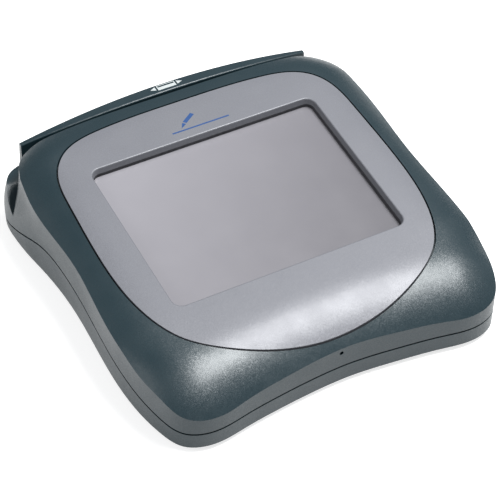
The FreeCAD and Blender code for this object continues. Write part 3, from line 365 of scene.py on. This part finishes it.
def printed(name, node, quads, centre, material):
    """Ink laid on top of a CAD node: flat quads in millimetres about a centre, thin and solid."""
    tree = surface_of(node)
    bm = bmesh.new()

    def corner(point, lift):
        x, y = centre.x + point[0] * MM, centre.y + point[1] * MM
        hit = tree.ray_cast(Vector((x, y, 1.0)), Vector((0, 0, -1)))[0]
        return bm.verts.new((x, y, hit.z + lift))

    for quad in quads:
        unique = list(dict.fromkeys(quad))
        top = [corner(point, INK_HEIGHT) for point in unique]
        low = [corner(point, -INK_HEIGHT) for point in unique]
        bm.faces.new(top)
        bm.faces.new(reversed(low))
        for i in range(len(unique)):
            j = (i + 1) % len(unique)
            bm.faces.new((top[j], top[i], low[i], low[j]))
    return finish_piece(name, bm, material)


# ---------------------------------------------------------------- prints
def swipe_pictogram():
    """A card between two outward arrows, on top of the rail."""
    low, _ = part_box("card_rail")
    centre = Vector((-0.6 * MM, low.y + 3.8 * MM, 0))
    half, tall, line, stripe_foot = 4.8, 1.75, 0.45, 0.25
    arrow_root, arrow_tip, arrow_half = 5.7, 8.5, 1.3
    quads = bar(-half, half, tall - line, tall) + bar(-half, half, -tall, stripe_foot)
    quads += bar(-half, -half + line, stripe_foot, tall - line, 1)
    quads += bar(half - line, half, stripe_foot, tall - line, 1)
    for side in (-1, 1):
        root, tip = side * arrow_root, side * arrow_tip
        quads += strip(((root, -arrow_half), (root, arrow_half)), ((tip, 0), (tip, 0)), 2)
    return printed("swipe_pictogram", "card_rail", quads, centre, WHITE_INK)


def sign_here_mark():
    """A plain pen above a line, behind the window."""
    low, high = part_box("front_bezel")
    centre = Vector(((low.x + high.x) / 2 + 2.0 * MM, high.y - 15.0 * MM, 0))
    line_half, line_low, line_high = 15, -3.9, -3.1
    nib = ((-9.5, -2.2), (-8.9, -1.7)), ((-7.6, 1.2), (-6.2, -0.2))
    barrel = ((-7.1, 1.7), (-5.7, 0.3)), ((-1.2, 5.6), (0.2, 4.2))
    quads = bar(-line_half, line_half, line_low, line_high, 14)
    quads += strip(*nib, 3) + strip(*barrel, 6)
    return printed("sign_here_mark", "front_bezel", quads, centre, BLUE_INK)


# ---------------------------------------------------------------- small fittings
def socket_contacts():
    """Gold wires along the foot of the serial socket."""
    low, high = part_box("serial_port")
    middle = (low.x + high.x) / 2
    pitch, count, half_width = 1.02 * MM, 8, 0.17 * MM
    foot, sunk, proud = low.z + 2.2 * MM, 0.05 * MM, 0.25 * MM
    inner_end, mouth_end = high.y - 12.5 * MM, high.y - 2.0 * MM
    boxes = []
    for index in range(count):
        x = middle + (index - (count - 1) / 2) * pitch
        boxes.append(((x - half_width, inner_end, foot - sunk),
                      (x + half_width, mouth_end, foot + proud)))
    return blocks("serial_contacts", boxes, GOLD)


def rounded_outline(reach_x, reach_y, radius, steps=6):
    """Corner points of a rounded rectangle about the origin, anticlockwise."""
    points = []
    for index, (side, end) in enumerate(((1, 1), (-1, 1), (-1, -1), (1, -1))):
        for step in range(steps + 1):
            angle = math.radians(90 * (index + step / steps))
            points.append((side * (reach_x - radius) + radius * math.cos(angle),
                           end * (reach_y - radius) + radius * math.sin(angle)))
    return points


def blank_label():
    """A plain label with rounded corners and a raised rim, in the recess of the underside."""
    reach_x, reach_y, radius, rim = 28.6 * MM, 16.6 * MM, 2.0 * MM, 0.8 * MM
    back, rim_face, face = 3.41 * MM, 3.13 * MM, 3.19 * MM
    outer = rounded_outline(reach_x, reach_y, radius)
    inner = rounded_outline(reach_x - rim, reach_y - rim, radius - rim)
    bm = bmesh.new()
    rings = [[bm.verts.new((x, y, z)) for x, y in outline]
             for outline, z in ((outer, back), (outer, rim_face), (inner, rim_face), (inner, face))]
    for low, high in zip(rings, rings[1:]):
        for index in range(len(outer)):
            after = (index + 1) % len(outer)
            bm.faces.new((low[index], low[after], high[after], high[index]))
    bm.faces.new(rings[0])
    bm.faces.new(rings[-1])
    return finish_piece("blank_label", bm, LABEL_PAPER)


def head_leaf():
    """The leaf spring behind the read head, as its own copy of the CAD node's mesh; the CAD node is
    hidden.
    """
    bm = bmesh.new()
    bm.from_mesh(NODES["head_spring"].data)
    bm.transform(NODES["head_spring"].matrix_world)
    leaf = finish_piece("head_leaf", bm, MATERIALS["sheet_steel"])
    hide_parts("head_spring")
    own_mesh(leaf)
    return leaf


# ---------------------------------------------------------------- camera, light and floor
def make_camera():
    """The viewing place: front left, looking down at about 44 degrees."""
    data = bpy.data.cameras.new("camera")
    data.sensor_width = CAMERA_SENSOR
    data.lens = CAMERA_LENS
    camera = bpy.data.objects.new("camera", data)
    bpy.context.scene.collection.objects.link(camera)
    camera.location = CAMERA_PLACE
    camera.rotation_euler = [math.radians(angle) for angle in CAMERA_TURN]
    bpy.context.scene.camera = camera


def soft_box(name, direction, distance, width, depth, watts):
    """An area light that faces the object from a direction."""
    data = bpy.data.lights.new(name, "AREA")
    data.shape = "RECTANGLE"
    data.size = width
    data.size_y = depth
    data.energy = watts
    light = bpy.data.objects.new(name, data)
    bpy.context.scene.collection.objects.link(light)
    heading = Vector(direction).normalized()
    light.location = Vector(LIGHT_TARGET) + heading * distance
    light.rotation_mode = "QUATERNION"
    light.rotation_quaternion = (-heading).to_track_quat("-Z", "Y")


def make_floor():
    """A pale sheet that glows a little, so that the object's shadow on it is faint."""
    mesh = bpy.data.meshes.new("floor")
    sides = ((-1, -1), (1, -1), (1, 1), (-1, 1))
    corners = [(x * FLOOR_REACH, y * FLOOR_REACH, FLOOR_LEVEL) for x, y in sides]
    mesh.from_pydata(corners, [], [(0, 1, 2, 3)])
    floor = bpy.data.objects.new("floor", mesh)
    bpy.context.scene.collection.objects.link(floor)
    look = Look("floor_paper", Roughness=0.9, Emission_Color=(1, 1, 1, 1),
                Emission_Strength=FLOOR_GLOW)
    darker, paler = ((grey, grey, grey) for grey in FLOOR_SHADES)
    look.colour(look.ramp(look.noise(3, 2), [(0.3, darker), (0.7, paler)]))
    mesh.materials.append(look.material)


def make_world():
    world = bpy.data.worlds.new("studio")
    world.use_nodes = True
    background = world.node_tree.nodes["Background"]
    background.inputs["Color"].default_value = SKY_COLOUR
    background.inputs["Strength"].default_value = SKY_STRENGTH
    bpy.context.scene.world = world


def make_lights():
    for name, settings in SOFT_BOXES.items():
        soft_box(name, *settings)


make_camera()
make_world()
make_lights()
make_floor()
dress_nodes()
swipe_pictogram()
sign_here_mark()
socket_contacts()
blank_label()
head_leaf()
bpy.context.scene.view_settings.view_transform = "Standard"
